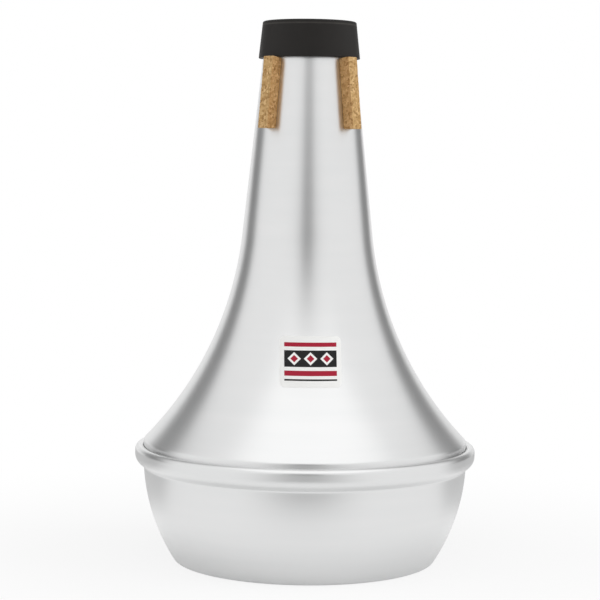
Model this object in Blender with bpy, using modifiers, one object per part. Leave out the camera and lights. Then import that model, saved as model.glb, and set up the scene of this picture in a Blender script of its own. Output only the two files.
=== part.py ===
"""Euphonium straight mute.

A hollow spun aluminium body is locked to a spun aluminium base pan by a folded bead.
A rubber cap sleeves the open neck, and four cork strips below it seat in the bell.
Metres, +Z up, origin on the axis at the base. The front of the mute faces -Y.
"""

import math

import bmesh
import bpy
from mathutils import Matrix, Vector

MM = 0.001
TURN_STEPS = 64
FIT_GAP = 0.3 * MM

# Sheet and overall sizes
SHEET = 1.0 * MM
HEIGHT = 384.0 * MM

# Body: a straight taper that runs into one long arc
NECK_HALF_ANGLE = math.radians(6.2)
FLARE_RADIUS = 248.8 * MM
FLARE_LEAN = math.radians(44.1)
FLARE_FOOT = Vector((115.15 * MM, 86.9 * MM))
SHOULDER_RADIUS = 1.6 * MM

# Folded bead: the pan's edge rolled over the rolled rim of the body
BEAD_OUTER_RADIUS = 121.8 * MM
BEAD_ROLL_RADIUS = 4.0 * MM
BEAD_ROLL_Z = 78.5 * MM
BEAD_SKIRT_Z = 74.4 * MM
BEAD_TURN_RADIUS = 4.2 * MM
BEAD_CHAMFER = math.radians(47)
LIP_END = math.radians(110)
RIM_END_Z = 74.5 * MM
GROOVE_RADIUS = 0.8 * MM

# Base pan: a bowed side on a flat floor
PAN_TOP_RADIUS = 116.0 * MM
PAN_TOP_LEAN = math.radians(3.5)
PAN_BASE_LEAN = math.radians(32.3)
PAN_FILLET = 2.0 * MM
PAN_CORNER = 2.5 * MM

# End cap: a tapered rubber sleeve with a lip over the neck's end
CAP_LENGTH = 26.0 * MM
CAP_FOOT_RADIUS = 36.0 * MM
CAP_HEAD_RADIUS = 33.3 * MM
CAP_LIP = 2.5 * MM
CAP_BORE_RADIUS = 28.0 * MM
CAP_EDGE = 1.8 * MM

# Cork strips: square-cut bars, hollowed on the inside to the neck's taper
CORK_COUNT = 4
CORK_WIDTH = 9.0 * MM
CORK_DEPTH = 8.6 * MM
CORK_LENGTH = 49.4 * MM
CORK_EDGE = 0.5 * MM
FIRST_CORK_AZIMUTH = math.radians(45)

CAP_FOOT_Z = HEIGHT - CAP_LENGTH
NECK_END_Z = HEIGHT - CAP_LIP - FIT_GAP
FLARE_CENTRE = FLARE_FOOT + FLARE_RADIUS * Vector((math.cos(FLARE_LEAN), math.sin(FLARE_LEAN)))
ROLL_CENTRE = Vector((BEAD_OUTER_RADIUS - BEAD_ROLL_RADIUS, BEAD_ROLL_Z))
TAPER_FOOT = FLARE_CENTRE - FLARE_RADIUS * Vector((math.cos(NECK_HALF_ANGLE), math.sin(NECK_HALF_ANGLE)))


def polar(centre, radius, angle):
    """The (r, z) point at this angle from the outward direction, towards +Z."""
    return centre + radius * Vector((math.cos(angle), math.sin(angle)))


def arc(centre, radius, start, end, steps):
    """The (r, z) points of an arc, both ends included."""
    return [polar(centre, radius, start + (end - start) * i / steps) for i in range(steps + 1)]


def neck_radius(z):
    """Outer radius of the neck's straight taper."""
    return TAPER_FOOT.x - (z - TAPER_FOOT.y) * math.tan(NECK_HALF_ANGLE)


def clear_scene():
    for obj in list(bpy.data.objects):
        bpy.data.objects.remove(obj)


def new_collection(name):
    collection = bpy.data.collections.new(name)
    bpy.context.scene.collection.children.link(collection)
    return collection


def material(name, colour, metallic, roughness):
    """A Principled material; the colour is linear RGB."""
    made = bpy.data.materials.new(name)
    made.use_nodes = True
    shader = made.node_tree.nodes["Principled BSDF"]
    shader.inputs["Base Color"].default_value = (*colour, 1)
    shader.inputs["Metallic"].default_value = metallic
    shader.inputs["Roughness"].default_value = roughness
    made.diffuse_color = (*colour, 1)
    return made


def turned(name, profile, collection, closed=False):
    """A profile of (r, z) points turned about the Z axis by a Screw modifier."""
    mesh = bpy.data.meshes.new(name)
    shape = bmesh.new()
    verts = [shape.verts.new((point.x, 0, point.y)) for point in profile]
    for first, second in zip(verts, verts[1:]):
        shape.edges.new((first, second))
    if closed:
        shape.edges.new((verts[-1], verts[0]))
    shape.to_mesh(mesh)
    shape.free()
    obj = bpy.data.objects.new(name, mesh)
    collection.objects.link(obj)
    screw = obj.modifiers.new("turn", "SCREW")
    screw.axis = "Z"
    screw.steps = TURN_STEPS
    screw.render_steps = TURN_STEPS
    screw.use_merge_vertices = True
    screw.merge_threshold = 0.01 * MM
    return obj


def thicken(obj, thickness):
    """Gives a turned sheet its wall, inwards from the outer face."""
    wall = obj.modifiers.new("wall", "SOLIDIFY")
    wall.thickness = thickness
    wall.offset = -1
    wall.use_even_offset = True


def settle(obj, finish, parent):
    """Turns the modifiers into a mesh with crisp edges, and gives it its material."""
    graph = bpy.context.evaluated_depsgraph_get()
    mesh = bpy.data.meshes.new_from_object(obj.evaluated_get(graph))
    obj.modifiers.clear()
    mesh.name = obj.name
    mesh.materials.clear()
    mesh.materials.append(finish)
    mesh.shade_smooth()
    mesh.set_sharp_from_angle(angle=math.radians(32))
    obj.data = mesh
    obj.parent = parent


def body_shell(collection, finish, parent):
    """Neck, flare and the rolled rim that lies inside the pan's bead."""
    rim_radius = BEAD_ROLL_RADIUS - SHEET - FIT_GAP
    shoulder = polar(FLARE_FOOT, -SHOULDER_RADIUS, FLARE_LEAN)
    wall_r = shoulder.x + SHOULDER_RADIUS
    groove_r = wall_r + GROOVE_RADIUS
    reach = rim_radius + GROOVE_RADIUS
    groove_rise = math.sqrt(reach ** 2 - (groove_r - ROLL_CENTRE.x) ** 2)
    groove = Vector((groove_r, ROLL_CENTRE.y + groove_rise))
    rim_start = math.atan2(groove_rise, groove_r - ROLL_CENTRE.x)
    profile = [Vector((neck_radius(NECK_END_Z), NECK_END_Z))]
    profile += arc(FLARE_CENTRE, FLARE_RADIUS, math.pi + NECK_HALF_ANGLE, math.pi + FLARE_LEAN, 12)
    profile += arc(shoulder, SHOULDER_RADIUS, FLARE_LEAN, 0, 2)[1:]
    profile += arc(groove, GROOVE_RADIUS, math.pi, math.pi + rim_start, 4)
    profile += arc(ROLL_CENTRE, rim_radius, rim_start, 0, 6)[1:]
    profile.append(Vector((ROLL_CENTRE.x + rim_radius, RIM_END_Z)))
    obj = turned("body_shell", profile, collection)
    thicken(obj, SHEET)
    settle(obj, finish, parent)


def base_pan(collection, finish, parent):
    """Flat floor, bowed side, and the edge rolled over the body's rim."""
    turn = Vector((BEAD_OUTER_RADIUS - BEAD_TURN_RADIUS, BEAD_SKIRT_Z))
    chamfer_top = polar(turn, BEAD_TURN_RADIUS, -BEAD_CHAMFER)
    fillet_r = PAN_TOP_RADIUS + PAN_FILLET * math.cos(PAN_TOP_LEAN)
    chamfer_foot_r = fillet_r - PAN_FILLET * math.cos(BEAD_CHAMFER)
    chamfer_foot_z = chamfer_top.y - (chamfer_top.x - chamfer_foot_r) / math.tan(BEAD_CHAMFER)
    fillet = Vector((fillet_r, chamfer_foot_z - PAN_FILLET * math.sin(BEAD_CHAMFER)))
    side_top = polar(fillet, -PAN_FILLET, -PAN_TOP_LEAN)
    side_foot_z = PAN_CORNER * (1 - math.sin(PAN_BASE_LEAN))
    side_radius = (side_top.y - side_foot_z) / (math.sin(PAN_BASE_LEAN) - math.sin(PAN_TOP_LEAN))
    side_centre = polar(side_top, -side_radius, -PAN_TOP_LEAN)
    corner = polar(side_centre, side_radius - PAN_CORNER, -PAN_BASE_LEAN)
    profile = arc(ROLL_CENTRE, BEAD_ROLL_RADIUS, LIP_END, 0, 6)
    profile += arc(turn, BEAD_TURN_RADIUS, 0, -BEAD_CHAMFER, 3)
    profile += arc(fillet, PAN_FILLET, math.pi - BEAD_CHAMFER, math.pi - PAN_TOP_LEAN, 2)
    profile += arc(side_centre, side_radius, -PAN_TOP_LEAN, -PAN_BASE_LEAN, 7)[1:]
    profile += arc(corner, PAN_CORNER, -PAN_BASE_LEAN, -math.pi / 2, 3)[1:]
    profile.append(Vector((0, 0)))
    obj = turned("base_pan", profile, collection)
    thicken(obj, SHEET)
    settle(obj, finish, parent)


def end_cap(collection, finish, parent):
    """Rubber sleeve on the neck, its lip turned in over the sheet's end."""
    taper = math.atan2(CAP_FOOT_RADIUS - CAP_HEAD_RADIUS, CAP_LENGTH)
    edge = Vector((CAP_HEAD_RADIUS - CAP_EDGE, HEIGHT - CAP_EDGE))
    lip_z = NECK_END_Z + FIT_GAP
    profile = arc(edge, CAP_EDGE, math.pi / 2, taper, 4)
    profile.append(Vector((CAP_FOOT_RADIUS, CAP_FOOT_Z)))
    profile.append(Vector((neck_radius(CAP_FOOT_Z) + FIT_GAP, CAP_FOOT_Z)))
    profile.append(Vector((neck_radius(lip_z) + FIT_GAP, lip_z)))
    profile.append(Vector((CAP_BORE_RADIUS, lip_z)))
    profile.append(Vector((CAP_BORE_RADIUS, HEIGHT)))
    obj = turned("end_cap", profile, collection, closed=True)
    settle(obj, finish, parent)


def neck_cutter(collection):
    """The neck's taper with the glue gap added, for hollowing the corks."""
    low = CAP_FOOT_Z - 2 * CORK_LENGTH
    high = HEIGHT
    profile = [
        Vector((0, high)),
        Vector((neck_radius(high) + FIT_GAP, high)),
        Vector((neck_radius(low) + FIT_GAP, low)),
        Vector((0, low)),
    ]
    obj = turned("neck_cutter", profile, collection)
    obj.display_type = "WIRE"
    obj.hide_render = True
    return obj


def cork_blank(collection):
    """One bar along the neck's taper at azimuth 0, its inner side still inside the neck."""
    bite = 2 * MM
    top_z = CAP_FOOT_Z - 0.6 * MM
    middle_z = top_z - CORK_LENGTH / 2 * math.cos(NECK_HALF_ANGLE)
    mesh = bpy.data.meshes.new("cork_strip")
    shape = bmesh.new()
    bmesh.ops.create_cube(shape, size=1)
    bmesh.ops.scale(shape, vec=(CORK_DEPTH + bite, CORK_WIDTH, CORK_LENGTH), verts=shape.verts)
    bmesh.ops.bevel(shape, geom=shape.edges, offset=CORK_EDGE, segments=2, profile=0.5, affect="EDGES")
    bmesh.ops.translate(shape, vec=((CORK_DEPTH - bite) / 2, 0, 0), verts=shape.verts)
    lean = Matrix.Rotation(-NECK_HALF_ANGLE, 4, "Y")
    place = Matrix.Translation((neck_radius(middle_z), 0, middle_z))
    bmesh.ops.transform(shape, matrix=place @ lean, verts=shape.verts)
    shape.to_mesh(mesh)
    shape.free()
    obj = bpy.data.objects.new("cork_strip_1", mesh)
    collection.objects.link(obj)
    return obj


def cork_strips(collection, cutters, finish, parent):
    """Four strips a quarter turn apart, the front pair either side of the label's place."""
    first = cork_blank(collection)
    hollow = first.modifiers.new("hollow", "BOOLEAN")
    hollow.operation = "DIFFERENCE"
    hollow.object = neck_cutter(cutters)
    settle(first, finish, parent)
    strips = [first]
    for number in range(2, CORK_COUNT + 1):
        strip = bpy.data.objects.new(f"cork_strip_{number}", first.data)
        strip.parent = parent
        collection.objects.link(strip)
        strips.append(strip)
    for number, strip in enumerate(strips):
        strip.rotation_euler.z = FIRST_CORK_AZIMUTH + number * math.tau / CORK_COUNT


def main():
    clear_scene()
    parts = new_collection("euphonium_mute")
    cutters = new_collection("cutters")
    root = bpy.data.objects.new("mute_root", None)
    parts.objects.link(root)
    spun = material("spun_aluminium", (0.76, 0.77, 0.78), 1.0, 0.34)
    rubber = material("black_rubber", (0.028, 0.026, 0.025), 0.0, 0.55)
    cork = material("cork", (0.48, 0.29, 0.13), 0.0, 0.85)
    body_shell(parts, spun, root)
    base_pan(parts, spun, root)
    end_cap(parts, rubber, root)
    cork_strips(parts, cutters, cork, root)


main()
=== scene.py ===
"""Straight mute for a euphonium, standing on its base in a white studio.

Every length in the constants is in millimetres. Lengths of the studio's lamps and tables are in metres, and
so are the pieces, which are built in the frame's own place.
"""

import math

import bmesh
import bpy
from mathutils import Matrix, Vector, noise


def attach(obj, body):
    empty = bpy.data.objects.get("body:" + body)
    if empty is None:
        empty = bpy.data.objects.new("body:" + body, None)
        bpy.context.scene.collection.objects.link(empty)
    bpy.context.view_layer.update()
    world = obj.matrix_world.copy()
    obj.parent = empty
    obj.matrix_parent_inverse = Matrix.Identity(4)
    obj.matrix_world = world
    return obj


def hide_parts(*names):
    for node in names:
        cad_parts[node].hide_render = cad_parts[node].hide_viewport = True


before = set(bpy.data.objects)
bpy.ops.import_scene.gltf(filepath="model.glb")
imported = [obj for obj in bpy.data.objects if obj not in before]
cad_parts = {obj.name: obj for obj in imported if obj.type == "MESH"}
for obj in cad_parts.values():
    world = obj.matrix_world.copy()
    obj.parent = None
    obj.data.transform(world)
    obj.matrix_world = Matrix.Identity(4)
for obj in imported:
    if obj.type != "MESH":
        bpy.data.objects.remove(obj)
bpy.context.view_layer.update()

# A millimetre in metres, the faces round a spun piece, the sharpest angle that still shades smooth, and how
# near to the axis a point of a section counts as being on it.
MM = 0.001
TURNS = 224
SMOOTH_ANGLE = math.radians(40)
ON_AXIS = 1e-6

# Whole height, sheet thickness, and the gaps in the cap's fit, in the seam and under the corks.
HEIGHT = 384.0
SHEET = 1.0
FIT_GAP = 0.3
SEAM_GAP = 0.05
GLUE_LINE = 0.05

# Camera of the photograph, fitted to the mute's outline. The mute stands turned a little to the right.
CAMERA_ASIDE = -4.711
CAMERA_BACK = 1359.27
CAMERA_HEIGHT = 286.765
CAMERA_DIP = math.radians(4.225)
CAMERA_ROLL = 0.0112
MUTE_TURN = math.radians(1.4)
LENS = 114.15

# Neck and flare: a straight taper that runs into one long arc, then a small shoulder and a groove.
NECK_HALF_ANGLE = math.radians(6.2)
FLARE_RADIUS = 248.8
FLARE_LEAN = math.radians(43.98)
FLARE_FOOT = Vector((114.78, 87.28))
SHOULDER_RADIUS = 3.0
GROOVE_RADIUS = 0.7

# Bead: the pan's edge rolled over the body's rim.
BEAD_OUTER_RADIUS = 121.8
BEAD_ROLL_RADIUS = 3.6
BEAD_ROLL_Z = 79.5
BEAD_SKIRT_Z = 76.5
BEAD_TURN_RADIUS = 8.0
BEAD_CHAMFER = math.radians(50)
RIM_END_Z = 75.0

# Pan: bowed side, small corner and flat floor.
PAN_TOP_RADIUS = 115.5
PAN_TOP_LEAN = math.radians(3.5)
PAN_BASE_LEAN = math.radians(32.7)
PAN_FILLET = 2.5
PAN_CORNER = 2.5

# Rubber cap: a sleeve with a lip over the neck's end. Its outer top edge is rounded by CAP_EDGE, and its bore
# and foot are eased by CAP_EASE.
CAP_LENGTH = 26.0
CAP_FOOT_RADIUS = 36.0
CAP_HEAD_RADIUS = 33.3
CAP_LIP = 2.5
CAP_BORE_RADIUS = 28.0
CAP_EDGE = 1.2
CAP_EASE = 0.45

# Painted highlight line round the cap: how far it is below the top, where it is whole, and where it has faded
# out.
HIGHLIGHT_LINE_DROP = 2.6
HIGHLIGHT_LINE_CORE = 0.2
HIGHLIGHT_LINE_FADE = 0.8

# Cork bars on the neck, just below the cap.
CORK_COUNT = 4
CORK_WIDTH = 9.0
CORK_DEPTH = 8.6
CORK_LENGTH = 49.4
CORK_BELOW_CAP = 0.6
FIRST_CORK_AZIMUTH = math.radians(45)

# Surface of a cork bar: its eased edge, the mesh's steps in that edge and between edges, how deep it is
# crumbled and how wide the crumbs are, how far apart two bars lie in the noise, and how near a side counts as
# cut.
CORK_EDGE = 0.5
CORK_EDGE_STEPS = 3
CORK_STEP = 0.8
CORK_CRUMBLE = 0.14
CORK_CRUMB_WIDTH = 1.3
CORK_NOISE_APART = 100
CORK_CUT_SKIN = 0.1

# Label on the front of the flare. It rises by its height times the cosine of LABEL_LEAN. The flare leans a
# little more there, which stretches the print slightly.
LABEL_WIDTH = 43.0
LABEL_HEIGHT = 36.0
LABEL_LEAN = math.radians(21)
LABEL_MIDDLE_Z = 149.5
LABEL_AZIMUTH = math.radians(-89.0)
LABEL_THICKNESS = 0.12
LABEL_EDGE_LIFT = 0.02
LABEL_CORNER = 4.0
LABEL_COLUMNS = 56
LABEL_ROWS = 48

# Print on the label: its inks, how soft a printed edge is, the white margin at each side, and the lower line,
# upper line and ink of each band.
PRINT_WHITE = "#F8F8F6"
PRINT_BLACK = "#141415"
PRINT_RED = "#A81A34"
PRINT_SOFTNESS = 0.1
PRINT_MARGIN = 3.4
PRINT_BANDS = (
    (28.4, 31.4, PRINT_RED),
    (14.2, 25.8, PRINT_BLACK),
    (8.0, 11.6, PRINT_RED),
    (4.6, 5.8, PRINT_BLACK),
)

# Three lozenges on the broad black band, each white with a red one inside.
LOZENGE_MIDDLE = 20.0
LOZENGE_PITCH = 11.2
LOZENGE_HALF_WIDTH = 4.6
LOZENGE_INNER_HALF_WIDTH = 2.6
LOZENGE_ROW_HALF_WIDTH = 16.8

# Studio: how strongly the world lights matt surfaces, the floor's reach and its drop below the base, the
# steps across a card, and the azimuth of the camera's side in degrees.
WORLD_FILL = 0.42
FLOOR_RADIUS = 4000.0
FLOOR_DROP = 0.2
CARD_STEPS = 32
CAMERA_SIDE = -90

CAP_FOOT_Z = HEIGHT - CAP_LENGTH
NECK_END_Z = HEIGHT - CAP_LIP - FIT_GAP
FLARE_CENTRE = FLARE_FOOT + FLARE_RADIUS * Vector((math.cos(FLARE_LEAN), math.sin(FLARE_LEAN)))
ROLL_CENTRE = Vector((BEAD_OUTER_RADIUS - BEAD_ROLL_RADIUS, BEAD_ROLL_Z))
RIM_ROLL_RADIUS = BEAD_ROLL_RADIUS - SHEET - SEAM_GAP
TAPER_FOOT = FLARE_CENTRE - FLARE_RADIUS * Vector((math.cos(NECK_HALF_ANGLE), math.sin(NECK_HALF_ANGLE)))


# Sections of the spun sheets and the cap


def polar(centre, radius, angle):
    """The (r, z) point at this angle from the outward direction, towards +Z."""
    return centre + radius * Vector((math.cos(angle), math.sin(angle)))


def arc(centre, radius, start, end, steps):
    """The (r, z) points of an arc, both ends included. [1:] drops the first where the profile has it."""
    return [polar(centre, radius, start + (end - start) * i / steps) for i in range(steps + 1)]


def straight(start, end, steps):
    """Points along a straight line, without its first."""
    return [start.lerp(end, i / steps) for i in range(1, steps + 1)]


def neck_radius(z):
    """Outer radius of the neck's straight taper."""
    return TAPER_FOOT.x - (z - TAPER_FOOT.y) * math.tan(NECK_HALF_ANGLE)


def flare_radius(z):
    """Outer radius of the body at this height, above its foot."""
    if z > TAPER_FOOT.y:
        return neck_radius(z)
    return FLARE_CENTRE.x - math.sqrt(FLARE_RADIUS ** 2 - (z - FLARE_CENTRE.y) ** 2)


def seam_groove():
    """Centres of the shoulder and of the groove below it, and the angle on the roll where the lip ends."""
    shoulder = polar(FLARE_FOOT, -SHOULDER_RADIUS, FLARE_LEAN)
    aside = shoulder.x + SHOULDER_RADIUS + GROOVE_RADIUS - ROLL_CENTRE.x
    rise = math.sqrt((RIM_ROLL_RADIUS + GROOVE_RADIUS) ** 2 - aside ** 2)
    return shoulder, ROLL_CENTRE + Vector((aside, rise)), math.atan2(rise, aside)


def body_profile():
    """Outer side of the body, from the neck's end down to the rolled rim."""
    shoulder, groove, lip_end = seam_groove()
    neck_end = Vector((neck_radius(NECK_END_Z), NECK_END_Z))
    rim_end = Vector((ROLL_CENTRE.x + RIM_ROLL_RADIUS, RIM_END_Z))
    flare_start, flare_end = math.pi + NECK_HALF_ANGLE, math.pi + FLARE_LEAN
    profile = [neck_end] + straight(neck_end, TAPER_FOOT, steps=24)
    profile += arc(FLARE_CENTRE, FLARE_RADIUS, flare_start, flare_end, steps=60)[1:]
    profile += arc(shoulder, SHOULDER_RADIUS, FLARE_LEAN, 0, steps=6)[1:]
    profile += arc(groove, GROOVE_RADIUS, math.pi, math.pi + lip_end, steps=8)
    profile += arc(ROLL_CENTRE, RIM_ROLL_RADIUS, lip_end, 0, steps=12)[1:]
    profile += straight(profile[-1], rim_end, steps=2)
    return profile


def pan_profile():
    """Outer side of the pan, from the bead's lip down to the middle of the floor."""
    lip_end = seam_groove()[2]
    turn = Vector((BEAD_OUTER_RADIUS - BEAD_TURN_RADIUS, BEAD_SKIRT_Z))
    chamfer_top = polar(turn, BEAD_TURN_RADIUS, -BEAD_CHAMFER)
    fillet_r = PAN_TOP_RADIUS + PAN_FILLET * math.cos(PAN_TOP_LEAN)
    chamfer_foot_r = fillet_r - PAN_FILLET * math.cos(BEAD_CHAMFER)
    chamfer_foot_z = chamfer_top.y - (chamfer_top.x - chamfer_foot_r) / math.tan(BEAD_CHAMFER)
    fillet = Vector((fillet_r, chamfer_foot_z - PAN_FILLET * math.sin(BEAD_CHAMFER)))
    side_top = polar(fillet, -PAN_FILLET, -PAN_TOP_LEAN)
    side_foot_z = PAN_CORNER * (1 - math.sin(PAN_BASE_LEAN))
    side_radius = (side_top.y - side_foot_z) / (math.sin(PAN_BASE_LEAN) - math.sin(PAN_TOP_LEAN))
    side_centre = polar(side_top, -side_radius, -PAN_TOP_LEAN)
    corner = polar(side_centre, side_radius - PAN_CORNER, -PAN_BASE_LEAN)
    profile = arc(ROLL_CENTRE, BEAD_ROLL_RADIUS, lip_end, 0, steps=22)
    profile += straight(profile[-1], Vector((BEAD_OUTER_RADIUS, BEAD_SKIRT_Z)), steps=3)
    profile += arc(turn, BEAD_TURN_RADIUS, 0, -BEAD_CHAMFER, steps=12)[1:]
    profile += straight(profile[-1], polar(fillet, -PAN_FILLET, -BEAD_CHAMFER), steps=2)
    profile += arc(fillet, PAN_FILLET, math.pi - BEAD_CHAMFER, math.pi - PAN_TOP_LEAN, steps=7)[1:]
    profile += arc(side_centre, side_radius, -PAN_TOP_LEAN, -PAN_BASE_LEAN, steps=40)[1:]
    profile += arc(corner, PAN_CORNER, -PAN_BASE_LEAN, -math.pi / 2, steps=9)[1:]
    profile += straight(profile[-1], Vector((0, 0)), steps=24)
    return profile


def cap_profile():
    """The whole section of the cap, a closed loop."""
    taper = math.atan2(CAP_FOOT_RADIUS - CAP_HEAD_RADIUS, CAP_LENGTH)
    lip_z = NECK_END_Z + FIT_GAP
    edge = Vector((CAP_HEAD_RADIUS - CAP_EDGE, HEIGHT - CAP_EDGE))
    foot = Vector((CAP_FOOT_RADIUS - CAP_EASE - CAP_EASE * math.tan(taper), CAP_FOOT_Z + CAP_EASE))
    inner_foot = Vector((neck_radius(CAP_FOOT_Z) + FIT_GAP, CAP_FOOT_Z))
    inner_head = Vector((neck_radius(lip_z) + FIT_GAP, lip_z))
    bore_top = Vector((CAP_BORE_RADIUS + CAP_EASE, HEIGHT - CAP_EASE))
    profile = arc(edge, CAP_EDGE, math.pi / 2, taper, steps=10)
    profile += straight(profile[-1], polar(foot, CAP_EASE, taper), steps=10)
    profile += arc(foot, CAP_EASE, taper, -math.pi / 2, steps=6)[1:]
    profile += straight(profile[-1], inner_foot, steps=2)
    profile += straight(inner_foot, inner_head, steps=8)
    profile += straight(profile[-1], Vector((CAP_BORE_RADIUS, lip_z)), steps=2)
    profile += straight(profile[-1], Vector((CAP_BORE_RADIUS, HEIGHT - CAP_EASE)), steps=2)
    profile += arc(bore_top, CAP_EASE, math.pi, math.pi / 2, steps=5)[1:]
    return profile


def inner_side(profile, wall):
    """The sheet's inner side, a wall's thickness behind the outer one."""
    inner = []
    for i, point in enumerate(profile):
        run = profile[min(i + 1, len(profile) - 1)] - profile[max(i - 1, 0)]
        if point.x < ON_AXIS:
            run = Vector((-1, 0))
        run.normalize()
        inner.append(point + wall * Vector((run.y, -run.x)))
    return inner


def rounded_end(first, last):
    """Points of the half circle that closes a cut sheet edge, between its two sides."""
    middle = (first + last) / 2
    start = math.atan2(first.y - middle.y, first.x - middle.x)
    return arc(middle, (first - middle).length, start, start + math.pi, steps=6)[1:-1]


def sheet_section(profile, wall):
    """A closed section of sheet metal from its outer side: both sides, and round cut edges."""
    inner = inner_side(profile, wall)
    section = list(profile)
    if profile[-1].x > ON_AXIS:
        section += rounded_end(profile[-1], inner[-1])
    section += reversed(inner)
    section += rounded_end(inner[0], profile[0])
    return section


# From a shape to a piece


def placed(name, data):
    """An object of this mesh, lamp or camera, linked into the scene."""
    made = bpy.data.objects.new(name, data)
    bpy.context.scene.collection.objects.link(made)
    return made


def finished(name, shape, finish):
    """A piece made of this bmesh shape in this material. It frees the shape."""
    mesh = bpy.data.meshes.new(name)
    shape.to_mesh(mesh)
    shape.free()
    mesh.materials.append(finish)
    return placed(name, mesh)


def ring_of(shape, point):
    """One section point carried round the axis, as TURNS points. On the axis they are all the same one."""
    z = point.y * MM
    if point.x < ON_AXIS:
        return [shape.verts.new((0, 0, z))] * TURNS
    radius = point.x * MM
    angles = [math.tau * k / TURNS for k in range(TURNS)]
    return [shape.verts.new((radius * math.cos(angle), radius * math.sin(angle), z)) for angle in angles]


def spun(name, section, finish):
    """A closed (r, z) section turned about Z. The UV map holds turns and millimetres along the section."""
    shape = bmesh.new()
    rings = [ring_of(shape, point) for point in section]
    lengths = [0.0]
    for point, following in zip(section, section[1:] + section[:1]):
        lengths.append(lengths[-1] + (following - point).length)
    uv = shape.loops.layers.uv.new("turned")
    for i, upper in enumerate(rings):
        lower = rings[(i + 1) % len(rings)]
        if upper[0] is upper[1] and lower[0] is lower[1]:
            continue
        for k in range(TURNS):
            n = (k + 1) % TURNS
            corners = [(upper[k], k, i), (lower[k], k, i + 1), (lower[n], k + 1, i + 1), (upper[n], k + 1, i)]
            # A face that ends on the axis is a triangle.
            if upper[k] is upper[n]:
                corners.pop(3)
            elif lower[k] is lower[n]:
                corners.pop(2)
            face = shape.faces.new([corner[0] for corner in corners])
            face.smooth = True
            for loop, (_, turn, row) in zip(face.loops, corners):
                loop[uv].uv = (turn / TURNS, lengths[row])
    bmesh.ops.recalc_face_normals(shape, faces=shape.faces)
    piece = finished(name, shape, finish)
    piece.data.set_sharp_from_angle(angle=SMOOTH_ANGLE)
    return piece


# Materials


def linear(hex_colour):
    """An sRGB hex colour as linear RGBA."""
    channels = [int(hex_colour[i : i + 2], 16) / 255 for i in (1, 3, 5)]
    return [c / 12.92 if c <= 0.04045 else ((c + 0.055) / 1.055) ** 2.4 for c in channels] + [1.0]


def scale_for(size_mm):
    """The scale at which one cell of a noise or granule pattern is this many millimetres across."""
    return 1 / (size_mm * MM)


def plug(tree, target, inputs):
    """Sets inputs of a node. Each is a number, a colour or another node's output."""
    for name, value in inputs.items():
        if isinstance(value, bpy.types.NodeSocket):
            tree.links.new(value, target.inputs[name])
        else:
            target.inputs[name].default_value = value


def node(tree, kind, settings=None, inputs=None):
    """Adds one node, with its own settings and its inputs. An input goes by its name or by its place.

    A Math node's numbers are at 0, 1 and 2, and MULTIPLY_ADD gives the first times the second plus the third.
    A colour Mix has its factor at 0, its colours at 6 and 7, and its result at output 2.
    """
    made = tree.nodes.new(kind)
    for name, value in (settings or {}).items():
        setattr(made, name, value)
    plug(tree, made, inputs or {})
    return made


def blank_material(name):
    """A new material, its node tree and its Principled shader."""
    made = bpy.data.materials.new(name)
    made.use_nodes = True
    tree = made.node_tree
    return made, tree, tree.nodes["Principled BSDF"]


def spun_aluminium():
    """Aluminium sheet spun on a lathe and left satin.

    Fine rings run round it, so highlights stretch up and down.
    """
    made, tree, shader = blank_material("spun_aluminium_satin")
    place = node(tree, "ShaderNodeTexCoord").outputs["Object"]
    sheet = node(tree, "ShaderNodeUVMap", {"uv_map": "turned"}).outputs[0]
    along = node(tree, "ShaderNodeSeparateXYZ", None, {0: sheet}).outputs[1]
    flat = node(tree, "ShaderNodeVectorMath", {"operation": "MULTIPLY"}, {0: place, 1: (1, 1, 0)}).outputs[0]
    round_it = node(tree, "ShaderNodeVectorMath", {"operation": "NORMALIZE"}, {0: flat}).outputs[0]

    def rings(pitch_mm, wander, detail):
        """Noise that changes every pitch_mm along the sheet and only slowly round it."""
        drift = {0: round_it, "Scale": wander}
        turned = node(tree, "ShaderNodeVectorMath", {"operation": "SCALE"}, drift).outputs[0]
        passed = node(tree, "ShaderNodeMath", {"operation": "DIVIDE"}, {0: along, 1: pitch_mm}).outputs[0]
        step = node(tree, "ShaderNodeCombineXYZ", None, {2: passed}).outputs[0]
        both = node(tree, "ShaderNodeVectorMath", {"operation": "ADD"}, {0: turned, 1: step}).outputs[0]
        marks = {"Vector": both, "Scale": 1.0, "Detail": detail, "Roughness": 0.6}
        return node(tree, "ShaderNodeTexNoise", None, marks).outputs[0]

    # Tool marks are about 0.1 mm apart; they are drawn near 0.5 mm so that they show.
    fine = rings(pitch_mm=0.5, wander=1.6, detail=2.0)
    # Slow bands where the roller pressed harder, some 9 mm apart.
    bands = rings(pitch_mm=9.0, wander=0.8, detail=1.0)
    tones = {0: bands, 6: linear("#DFE0E0"), 7: linear("#E4E4E4")}
    tone = node(tree, "ShaderNodeMix", {"data_type": "RGBA"}, tones).outputs[2]
    # Satin: the gloss changes a little from ring to ring.
    gloss = {0: fine, 1: 0.05, 2: 0.305}
    rough = node(tree, "ShaderNodeMath", {"operation": "MULTIPLY_ADD"}, gloss).outputs[0]
    marks = {"Strength": 0.03, "Distance": 0.2 * MM, "Height": fine}
    bump = node(tree, "ShaderNodeBump", None, marks).outputs[0]
    tangent = node(tree, "ShaderNodeTangent", {"direction_type": "RADIAL", "axis": "Z"}).outputs[0]
    plug(tree, shader, {
        "Base Color": tone,
        "Metallic": 1.0,
        "Roughness": rough,
        "Anisotropic": 0.53,
        "Anisotropic Rotation": 0.25,
        "Tangent": tangent,
        "Normal": bump,
    })
    return made


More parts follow.
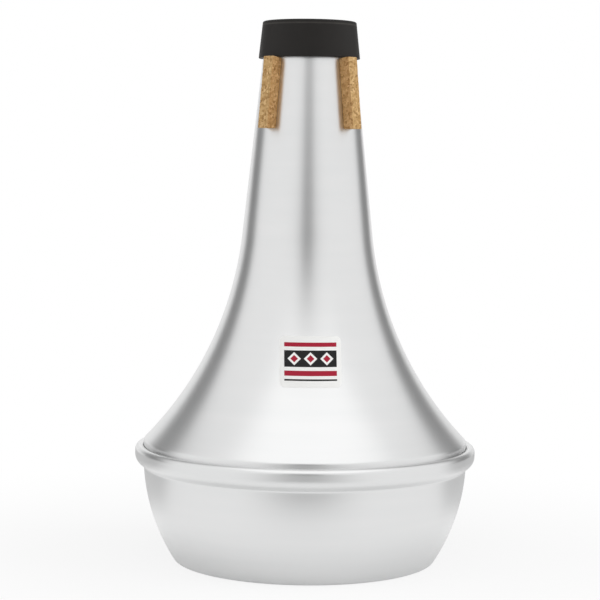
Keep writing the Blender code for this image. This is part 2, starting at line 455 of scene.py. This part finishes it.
def moulded_rubber():
    """Black natural rubber from a mould.

    It has a low grey sheen and a very fine grain, and a painted highlight line runs round just below its top
    edge.
    """
    made, tree, shader = blank_material("moulded_black_rubber")
    place = node(tree, "ShaderNodeTexCoord").outputs["Object"]
    # The grey bloom on it comes and goes every 11 mm or so.
    clouds = {"Vector": place, "Scale": scale_for(11.11), "Detail": 3.0}
    bloom = node(tree, "ShaderNodeTexNoise", None, clouds).outputs[0]
    # Mould grain is near 0.1 mm; it is drawn at 0.5 mm so that it shows.
    grains = {"Vector": place, "Scale": scale_for(0.5), "Detail": 2.0}
    grain = node(tree, "ShaderNodeTexNoise", None, grains).outputs[0]
    tones = {0: bloom, 6: linear("#1D1B1A"), 7: linear("#252321")}
    tone = node(tree, "ShaderNodeMix", {"data_type": "RGBA"}, tones).outputs[2]
    # The painted highlight line is patchy, and strongest where the bloom is.
    rise = node(tree, "ShaderNodeSeparateXYZ", None, {0: place}).outputs[2]
    heights = {0: rise, 1: (HEIGHT - HIGHLIGHT_LINE_DROP) * MM}
    off_line = node(tree, "ShaderNodeMath", {"operation": "SUBTRACT"}, heights).outputs[0]
    off_line = node(tree, "ShaderNodeMath", {"operation": "ABSOLUTE"}, {0: off_line}).outputs[0]
    line = {"Value": off_line, "From Min": HIGHLIGHT_LINE_FADE * MM, "From Max": HIGHLIGHT_LINE_CORE * MM}
    painted_highlight = node(tree, "ShaderNodeMapRange", {"interpolation_type": "SMOOTHSTEP"}, line).outputs[0]
    patches = {"Value": bloom, "From Min": 0.3, "From Max": 0.6, "To Min": 0.5}
    patchy = node(tree, "ShaderNodeMapRange", None, patches).outputs[0]
    painted_highlight = node(tree, "ShaderNodeMath", {"operation": "MULTIPLY"}, {0: painted_highlight, 1: patchy}).outputs[0]
    tones = {0: painted_highlight, 6: tone, 7: linear("#3B3936")}
    tone = node(tree, "ShaderNodeMix", {"data_type": "RGBA"}, tones).outputs[2]
    # It is duller where the bloom is.
    gloss = {0: bloom, 1: 0.16, 2: 0.46}
    rough = node(tree, "ShaderNodeMath", {"operation": "MULTIPLY_ADD"}, gloss).outputs[0]
    pores = {"Strength": 0.12, "Distance": 0.1 * MM, "Height": grain}
    bump = node(tree, "ShaderNodeBump", None, pores).outputs[0]
    plug(tree, shader, {
        "Base Color": tone,
        "Roughness": rough,
        "IOR": 1.52,
        "Specular IOR Level": 0.18,
        "Normal": bump,
    })
    return made


def pressed_cork():
    """Cork granules pressed into sheet.

    They show as tan grains with dark bark specks and small pits, and painted shade makes the knife-cut sides
    darker and redder.
    """
    made, tree, shader = blank_material("pressed_cork")
    place = node(tree, "ShaderNodeTexCoord").outputs["Object"]
    # Granules are 1 to 2 mm across, and their outlines are bent by some tenths of a millimetre.
    bends = {"Vector": place, "Scale": scale_for(1.4286), "Detail": 2.0}
    bent = node(tree, "ShaderNodeTexNoise", None, bends).outputs[1]
    shifts = {0: bent, "Scale": 0.9 * MM}
    shift = node(tree, "ShaderNodeVectorMath", {"operation": "SCALE"}, shifts).outputs[0]
    loose = node(tree, "ShaderNodeVectorMath", {"operation": "ADD"}, {0: place, 1: shift}).outputs[0]
    granules = {"Vector": loose, "Scale": scale_for(1.613)}
    granule = node(tree, "ShaderNodeTexVoronoi", None, granules).outputs["Color"]
    each = node(tree, "ShaderNodeSeparateColor", None, {0: granule}).outputs[0]
    tan = node(tree, "ShaderNodeValToRGB", None, {0: each})
    stops = tan.color_ramp.elements
    stops[0].color = linear("#A07A4B")
    stops[1].color = linear("#DEBB87")
    stops.new(0.35).color = linear("#C19B66")
    stops.new(0.75).color = linear("#CDA875")
    # Specks of bark are just under a millimetre across.
    specks = {"Vector": place, "Scale": scale_for(0.8696), "Detail": 3.0, "Roughness": 0.65}
    speck = node(tree, "ShaderNodeTexNoise", None, specks).outputs[0]
    barks = {"Value": speck, "From Min": 0.60, "From Max": 0.70}
    bark = node(tree, "ShaderNodeMapRange", None, barks).outputs[0]
    tones = {0: bark, 6: tan.outputs[0], 7: linear("#74502B")}
    tone = node(tree, "ShaderNodeMix", {"data_type": "RGBA"}, tones).outputs[2]
    # Painted shade: the cut sides are multiplied a little darker and redder than the face.
    cut = node(tree, "ShaderNodeAttribute", {"attribute_name": "shaded_cut_side"}).outputs["Fac"]
    tones = {0: cut, 6: tone, 7: linear("#F5EAE2")}
    tone = node(tree, "ShaderNodeMix", {"data_type": "RGBA", "blend_type": "MULTIPLY"}, tones).outputs[2]
    # Granules stand up between the cracks round them, and specks are sunk.
    edge = node(tree, "ShaderNodeTexVoronoi", {"feature": "DISTANCE_TO_EDGE"}, granules).outputs[0]
    cracks = {"Value": edge, "From Min": 0.0, "From Max": 0.10}
    crack = node(tree, "ShaderNodeMapRange", None, cracks).outputs[0]
    heights = {0: bark, 1: -0.8, 2: crack}
    height = node(tree, "ShaderNodeMath", {"operation": "MULTIPLY_ADD"}, heights).outputs[0]
    pits = {"Strength": 0.4, "Distance": 0.2 * MM, "Height": height}
    bump = node(tree, "ShaderNodeBump", None, pits).outputs[0]
    plug(tree, shader, {
        "Base Color": tone,
        "Roughness": 0.85,
        "IOR": 1.4,
        "Specular IOR Level": 0.3,
        "Normal": bump,
    })
    return made


def printed_vinyl():
    """White vinyl printed in black and red: crisp edges and a low gloss, a little rubbed.

    The print is laid out in millimetres from the label's lower left corner.
    """
    made, tree, shader = blank_material("printed_vinyl")
    sheet = node(tree, "ShaderNodeUVMap", {"uv_map": "print"}).outputs[0]
    spot = node(tree, "ShaderNodeSeparateXYZ", None, {0: sheet})
    across, up = spot.outputs[0], spot.outputs[1]
    halves = {0: across, 1: LABEL_WIDTH / 2}
    aside = node(tree, "ShaderNodeMath", {"operation": "SUBTRACT"}, halves).outputs[0]
    from_middle = node(tree, "ShaderNodeMath", {"operation": "ABSOLUTE"}, {0: aside}).outputs[0]

    def band(value, low, high):
        """1 between low and high, else 0, with soft edges. A low of -1 leaves out the lower limit."""
        soft = PRINT_SOFTNESS / 2
        lower = {"Value": value, "From Min": low - soft, "From Max": low + soft}
        upper = {"Value": value, "From Min": high + soft, "From Max": high - soft}
        rise = node(tree, "ShaderNodeMapRange", None, lower).outputs[0]
        fall = node(tree, "ShaderNodeMapRange", None, upper).outputs[0]
        return node(tree, "ShaderNodeMath", {"operation": "MULTIPLY"}, {0: rise, 1: fall}).outputs[0]

    margin = band(from_middle, -1, LABEL_WIDTH / 2 - PRINT_MARGIN)
    layers = [(band(up, low, high), margin, ink) for low, high, ink in PRINT_BANDS]
    # Inside a lozenge, the distances aside and above its middle add up to less than its half width.
    row = band(from_middle, -1, LOZENGE_ROW_HALF_WIDTH)
    pitches = {0: aside, 1: -LOZENGE_PITCH / 2, 2: LOZENGE_PITCH / 2}
    aside = node(tree, "ShaderNodeMath", {"operation": "WRAP"}, pitches).outputs[0]
    aside = node(tree, "ShaderNodeMath", {"operation": "ABSOLUTE"}, {0: aside}).outputs[0]
    above = node(tree, "ShaderNodeMath", {"operation": "SUBTRACT"}, {0: up, 1: LOZENGE_MIDDLE}).outputs[0]
    above = node(tree, "ShaderNodeMath", {"operation": "ABSOLUTE"}, {0: above}).outputs[0]
    spread = node(tree, "ShaderNodeMath", {"operation": "ADD"}, {0: aside, 1: above}).outputs[0]
    layers.append((band(spread, -1, LOZENGE_HALF_WIDTH), row, PRINT_WHITE))
    layers.append((band(spread, -1, LOZENGE_INNER_HALF_WIDTH), row, PRINT_RED))
    tone = linear(PRINT_WHITE)
    for shape, inside, ink in layers:
        where = node(tree, "ShaderNodeMath", {"operation": "MULTIPLY"}, {0: shape, 1: inside}).outputs[0]
        inked = {0: where, 6: tone, 7: linear(ink)}
        tone = node(tree, "ShaderNodeMix", {"data_type": "RGBA"}, inked).outputs[2]
    # Rubbed and glossier spots are some 2.5 mm apart.
    place = node(tree, "ShaderNodeTexCoord").outputs["Object"]
    rubbed = node(tree, "ShaderNodeTexNoise", None, {"Vector": place, "Scale": scale_for(2.5)}).outputs[0]
    gloss = {0: rubbed, 1: 0.12, 2: 0.34}
    rough = node(tree, "ShaderNodeMath", {"operation": "MULTIPLY_ADD"}, gloss).outputs[0]
    plug(tree, shader, {
        "Base Color": tone,
        "Roughness": rough,
        "IOR": 1.54,
        "Specular IOR Level": 0.2,
    })
    return made


# Corks and label


def bar_lines(length):
    """Grid lines along one side of a cork bar: close together in its eased edges, even between them."""
    eased = [CORK_EDGE * i / CORK_EDGE_STEPS for i in range(CORK_EDGE_STEPS)]
    plain = length - 2 * CORK_EDGE
    count = round(plain / CORK_STEP)
    even = [CORK_EDGE + plain * i / count for i in range(count + 1)]
    return eased + even + [length - line for line in reversed(eased)]


def eased_block(shape, sides):
    """A closed block of grid lines with every edge rounded, from the origin up. Gives back its points."""
    lines = [bar_lines(side) for side in sides]
    points = {}

    def point(place):
        """The block's point at these three grid lines, made when it is first asked for."""
        if place not in points:
            raw = Vector([lines[axis][place[axis]] for axis in range(3)])
            core = Vector([min(max(raw[axis], CORK_EDGE), sides[axis] - CORK_EDGE) for axis in range(3)])
            points[place] = shape.verts.new(core + (raw - core).normalized() * CORK_EDGE)
        return points[place]

    for axis in range(3):
        across, along = (axis + 1) % 3, (axis + 2) % 3
        for end in (0, len(lines[axis]) - 1):
            for i in range(len(lines[across]) - 1):
                for j in range(len(lines[along]) - 1):
                    corners = []
                    for di, dj in ((0, 0), (1, 0), (1, 1), (0, 1)):
                        place = [0, 0, 0]
                        place[axis], place[across], place[along] = end, i + di, j + dj
                        corners.append(point(tuple(place)))
                    shape.faces.new(corners).smooth = True
    bmesh.ops.recalc_face_normals(shape, faces=shape.faces)
    return shape.verts


def cork_bars(finish):
    """Four cork bars glued along the neck.

    Their inner side is hollowed to the neck's curve, and their cut sides are a little crumbled.
    """
    half_width, half_length = CORK_WIDTH / 2, CORK_LENGTH / 2
    middle_z = CAP_FOOT_Z - CORK_BELOW_CAP - half_length * math.cos(NECK_HALF_ANGLE)
    middle = Matrix.Translation((neck_radius(middle_z), 0, middle_z))
    stand = middle @ Matrix.Rotation(-NECK_HALF_ANGLE, 4, "Y")
    level_cut = CORK_DEPTH * math.sin(NECK_HALF_ANGLE)
    bars = []
    for number in range(CORK_COUNT):
        shape = bmesh.new()
        shaded_cut_side = shape.verts.layers.float.new("shaded_cut_side")
        for vert in eased_block(shape, (CORK_EDGE + CORK_DEPTH, CORK_WIDTH, CORK_LENGTH)):
            # The seat's own edges stay square: their easing is flattened into the seat.
            depth = max(0.0, vert.co.x - CORK_EDGE)
            side, rise = vert.co.y - half_width, vert.co.z - half_length
            # Marks the cut sides, where the material paints its shade.
            vert[shaded_cut_side] = 1.0 if abs(side) > half_width - CORK_CUT_SKIN else 0.0
            seat = stand @ Vector((0, side, rise))
            seat.x = math.sqrt((neck_radius(seat.z) + GLUE_LINE) ** 2 - seat.y ** 2)
            # The lower end is cut level, the upper one square to the neck.
            face = stand @ Vector((CORK_DEPTH, side, rise))
            face.z -= level_cut * (0.5 - rise / CORK_LENGTH)
            spot = Vector((depth, side, rise + CORK_NOISE_APART * number)) / CORK_CRUMB_WIDTH
            lost = CORK_CRUMBLE * max(0.0, noise.noise(spot))
            crumbled = 1 - lost / half_width
            vert.co = seat.lerp(face, depth / CORK_DEPTH * crumbled)
            vert.co.y *= crumbled
            vert.co.z = middle_z + (vert.co.z - middle_z) * (1 - lost / half_length)
        turn = Matrix.Rotation(FIRST_CORK_AZIMUTH + number * math.tau / CORK_COUNT, 4, "Z")
        bmesh.ops.transform(shape, matrix=turn @ Matrix.Scale(MM, 4), verts=shape.verts)
        bars.append(finished(f"cork_bar_{number + 1}", shape, finish))
    return bars


def on_flare(across, up, off):
    """The point of the flare's surface this far across and up the label, and this far off the metal."""
    z = LABEL_MIDDLE_Z + (up - LABEL_HEIGHT / 2) * math.cos(LABEL_LEAN)
    radius = flare_radius(z)
    lean = math.asin((FLARE_CENTRE.y - z) / FLARE_RADIUS)
    angle = LABEL_AZIMUTH + (across - LABEL_WIDTH / 2) / radius
    radius += off * math.cos(lean)
    return Vector((radius * math.cos(angle), radius * math.sin(angle), z + off * math.sin(lean))) * MM


def round_cornered(across, up):
    """Pulls a point of the label's grid in to an outline with round corners."""
    x, y = across - LABEL_WIDTH / 2, up - LABEL_HEIGHT / 2
    corner_x, corner_y = LABEL_WIDTH / 2 - LABEL_CORNER, LABEL_HEIGHT / 2 - LABEL_CORNER
    if abs(x) > corner_x and abs(y) > corner_y:
        dx, dy = abs(x) - corner_x, abs(y) - corner_y
        longest = max(dx, dy)
        reach = math.hypot(dx, dy)
        dx, dy = dx * longest / reach, dy * longest / reach
        x, y = math.copysign(corner_x + dx, x), math.copysign(corner_y + dy, y)
    return x + LABEL_WIDTH / 2, y + LABEL_HEIGHT / 2


def front_label(finish):
    """A thin label wrapped on the flare: rounded corners, edges turned down to the metal."""
    shape = bmesh.new()
    uv = shape.loops.layers.uv.new("print")
    grid = []
    for j in range(LABEL_ROWS + 1):
        row = []
        for i in range(LABEL_COLUMNS + 1):
            across, up = round_cornered(LABEL_WIDTH * i / LABEL_COLUMNS, LABEL_HEIGHT * j / LABEL_ROWS)
            at_edge = i in (0, LABEL_COLUMNS) or j in (0, LABEL_ROWS)
            off = LABEL_EDGE_LIFT if at_edge else LABEL_THICKNESS
            row.append((shape.verts.new(on_flare(across, up, off)), across, up))
        grid.append(row)
    for lower, upper in zip(grid, grid[1:]):
        for i in range(LABEL_COLUMNS):
            corners = [lower[i], lower[i + 1], upper[i + 1], upper[i]]
            face = shape.faces.new([corner[0] for corner in corners])
            face.smooth = True
            for loop, (_, across, up) in zip(face.loops, corners):
                loop[uv].uv = (across, up)
    return finished("front_label", shape, finish)


# Studio


def photo_camera():
    """The photograph's camera, moved round the mute's axis so that the mute stands straight in the frame."""
    data = bpy.data.cameras.new("photo_camera")
    data.lens = LENS
    data.sensor_width = 36.0
    data.clip_start = 0.01
    data.clip_end = 50.0
    camera = placed("photo_camera", data)
    place = Matrix.Translation(Vector((CAMERA_ASIDE, -CAMERA_BACK, CAMERA_HEIGHT)) * MM)
    aim = Matrix.Rotation(math.pi / 2 - CAMERA_DIP, 4, "X") @ Matrix.Rotation(CAMERA_ROLL, 4, "Z")
    camera.matrix_world = Matrix.Rotation(-MUTE_TURN, 4, "Z") @ place @ aim
    bpy.context.scene.camera = camera


def studio_world():
    """White behind the mute and in its reflections, and a softer even light on matt surfaces."""
    world = bpy.data.worlds.new("white_studio")
    bpy.context.scene.world = world
    world.use_nodes = True
    tree = world.node_tree
    tree.nodes.clear()
    path = node(tree, "ShaderNodeLightPath")
    seen = path.outputs["Is Camera Ray"]
    for ray in ("Is Glossy Ray", "Is Transmission Ray"):
        either = {0: seen, 1: path.outputs[ray]}
        seen = node(tree, "ShaderNodeMath", {"operation": "MAXIMUM"}, either).outputs[0]
    plain = {"Color": (1, 1, 1, 1), "Strength": 1.0}
    soft = {"Color": (1, 1, 1, 1), "Strength": WORLD_FILL}
    white = node(tree, "ShaderNodeBackground", None, plain).outputs[0]
    fill = node(tree, "ShaderNodeBackground", None, soft).outputs[0]
    mixed = node(tree, "ShaderNodeMixShader", None, {0: seen, 1: fill, 2: white}).outputs[0]
    node(tree, "ShaderNodeOutputWorld", None, {"Surface": mixed})


def studio_floor():
    """A white sweep: the mute's soft shadow shows near it, and further off it fades into the background."""
    made, tree, shader = blank_material("white_floor")
    path = node(tree, "ShaderNodeLightPath")
    place = node(tree, "ShaderNodeTexCoord").outputs["Object"]
    reach = node(tree, "ShaderNodeVectorMath", {"operation": "LENGTH"}, {0: place}).outputs["Value"]
    # The share of plain white for each kind of ray, by distance from the mute's axis in metres.
    plain = 0.0
    for ray, near, far, near_share, far_share in (
        ("Is Camera Ray", 0.12, 0.45, 0.8, 1.0),
        ("Is Transmission Ray", 0.12, 0.45, 0.8, 1.0),
        ("Is Glossy Ray", 0.08, 0.155, 0.15, 0.97),
    ):
        ramp = {"Value": reach, "From Min": near, "From Max": far, "To Min": near_share, "To Max": far_share}
        share = node(tree, "ShaderNodeMapRange", {"interpolation_type": "SMOOTHSTEP"}, ramp).outputs[0]
        share = {0: path.outputs[ray], 1: share, 2: plain}
        plain = node(tree, "ShaderNodeMath", {"operation": "MULTIPLY_ADD"}, share).outputs[0]
    glow = node(tree, "ShaderNodeEmission", None, {"Color": (1, 1, 1, 1), "Strength": 1.0}).outputs[0]
    plug(tree, shader, {"Base Color": linear("#F7F7F7"), "Roughness": 0.9, "Specular IOR Level": 0.0})
    mixed = node(tree, "ShaderNodeMixShader", None, {0: plain, 1: shader.outputs[0], 2: glow}).outputs[0]
    plug(tree, tree.nodes["Material Output"], {"Surface": mixed})
    shape = bmesh.new()
    bmesh.ops.create_circle(shape, cap_ends=True, segments=96, radius=FLOOR_RADIUS * MM)
    bmesh.ops.translate(shape, vec=(0, 0, -FLOOR_DROP * MM), verts=shape.verts)
    finished("studio_floor", shape, made)


def grey_card(name, rows):
    """A curved grey card that only the metal's reflections see; its sides fade into the white round it.

    Each row is (left azimuth, right azimuth, distance, height, shade, softness): degrees from the camera's
    side towards the right, then metres. softness is the share of the width in which each side fades.
    """
    made, tree, _ = blank_material(name)
    shade = node(tree, "ShaderNodeAttribute", {"attribute_name": "shade"}).outputs["Fac"]
    glow = node(tree, "ShaderNodeEmission", None, {"Color": (1, 1, 1, 1), "Strength": shade}).outputs[0]
    plug(tree, tree.nodes["Material Output"], {"Surface": glow})
    shape = bmesh.new()
    depth = shape.verts.layers.float.new("shade")
    grid = []
    for left, right, distance, height, dark, soft in rows:
        line = []
        for i in range(CARD_STEPS + 1):
            facing = math.radians(left + (right - left) * i / CARD_STEPS + CAMERA_SIDE) - MUTE_TURN
            vert = shape.verts.new((distance * math.cos(facing), distance * math.sin(facing), height))
            # The side fades in a smooth step.
            cover = min(1.0, min(i, CARD_STEPS - i) / CARD_STEPS / soft)
            vert[depth] = 1 - (1 - dark) * cover * cover * (3 - 2 * cover)
            line.append(vert)
        grid.append(line)
    for upper, lower in zip(grid, grid[1:]):
        for i in range(CARD_STEPS):
            shape.faces.new((upper[i], upper[i + 1], lower[i + 1], lower[i]))
    card = finished(name, shape, made)
    card.visible_camera = False
    card.visible_diffuse = False
    card.visible_transmission = False
    card.visible_shadow = False


def soft_box(name, place, aim, size, watts, mirrored=False):
    """A rectangular lamp at this place, turned to its aim. The mute mirrors it only if mirrored is True."""
    data = bpy.data.lights.new(name, "AREA")
    data.shape = "RECTANGLE"
    data.size, data.size_y = size
    data.energy = watts
    lamp = placed(name, data)
    lamp.visible_glossy = mirrored
    place = Vector(place)
    towards = (Vector(aim) - place).to_track_quat("-Z", "Y").to_matrix().to_4x4()
    lamp.matrix_world = Matrix.Translation(place) @ towards


def studio():
    """The camera, the white room, its lamps and its grey cards."""
    photo_camera()
    studio_world()
    studio_floor()
    # Lamps from both sides and from above, aimed at the mute's middle. Only the overhead one is mirrored.
    middle = (0, 0, 0.2)
    soft_box("key_left", (-1.95, -0.45, 1.0), middle, size=(2.0, 1.8), watts=13.8)
    soft_box("key_right", (1.95, -0.45, 1.0), middle, size=(2.0, 1.8), watts=23.5)
    soft_box("top_fill", (0, -0.6, 2.1), middle, size=(1.6, 1.6), watts=5)
    soft_box("overhead", (0.12, -0.9, 1.95), (0.12, -0.9, 0), size=(2.5, 2.2), watts=5.4, mirrored=True)
    # Dark bands near the mute's sides: cards that lean back with height, the right one further round.
    grey_card("left_card", (
        (-82, -178, 0.17, 0.0005, 1.0, 0.2),
        (-86, -174, 0.24, 0.0005, 0.7, 0.2),
        (-92, -168, 0.5, 0.0005, 0.6, 0.2),
        (-95, -165, 1.4, 0.0005, 0.65, 0.2),
        (-95, -130, 1.4, 0.02, 0.2, 0.2),
        (-99, -137, 1.4, 0.3, 0.2, 0.2),
        (-102, -144, 1.4, 0.41, 0.2, 0.2),
        (-104, -151, 1.4, 0.56, 0.25, 0.2),
        (-107, -156, 1.4, 0.72, 0.28, 0.2),
        (-117, -163, 1.4, 1.1, 0.3, 0.2),
        (-128, -169, 1.4, 2.4, 0.34, 0.2),
    ))
    grey_card("right_card", (
        (82, 178, 0.17, 0.0005, 1.0, 0.2),
        (86, 174, 0.24, 0.0005, 0.7, 0.2),
        (92, 168, 0.5, 0.0005, 0.62, 0.2),
        (95, 165, 1.4, 0.0005, 0.68, 0.2),
        (104, 144, 1.4, 0.02, 0.22, 0.2),
        (108, 148, 1.4, 0.3, 0.22, 0.2),
        (111, 154, 1.4, 0.41, 0.23, 0.2),
        (113, 159, 1.4, 0.56, 0.26, 0.2),
        (116, 163, 1.4, 0.72, 0.29, 0.2),
        (125, 169, 1.4, 1.1, 0.32, 0.2),
        (136, 176, 1.4, 2.4, 0.36, 0.2),
    ))
    # The gap between the lamps, and the grey runner on the floor below it.
    grey_card("camera_gap", (
        (-9, 9, 1.6, 1.0, 1.0, 0.28),
        (-12, 12, 1.6, 0.8, 0.36, 0.28),
        (-14, 14, 1.6, 0.6, 0.15, 0.28),
        (-20, 20, 1.6, 0.4, 0.02, 0.4),
        (-34, 34, 1.6, 0.2, 0.12, 0.5),
        (-45, 45, 1.6, 0.0005, 0.45, 0.5),
        (-48, 48, 0.6, 0.0005, 0.75, 0.5),
        (-48, 48, 0.44, 0.0005, 0.68, 0.5),
        (-40, 40, 0.36, 0.0005, 0.38, 0.5),
        (-40, 40, 0.27, 0.0005, 0.6, 0.5),
        (-42, 42, 0.21, 0.0005, 1.0, 0.5),
    ))
    bpy.context.scene.view_settings.view_transform = "Standard"


def main():
    """Sets up the studio and builds the mute's pieces in their CAD nodes' places."""
    studio()
    metal = spun_aluminium()
    body = spun("spun_body", sheet_section(body_profile(), SHEET), metal)
    pan = spun("spun_pan", sheet_section(pan_profile(), SHEET), metal)
    cap = spun("rubber_cap", cap_profile(), moulded_rubber())
    for piece, slot, solid in (
        (body, "spun_aluminium", "body_shell"),
        (pan, "spun_aluminium", "base_pan"),
        (cap, "black_rubber", "end_cap"),
    ):
        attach(piece, "root")
        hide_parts(solid)
    for number, bar in enumerate(cork_bars(pressed_cork()), 1):
        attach(bar, "root")
        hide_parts(f"cork_strip_{number}")
    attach(front_label(printed_vinyl()), "root")


main()
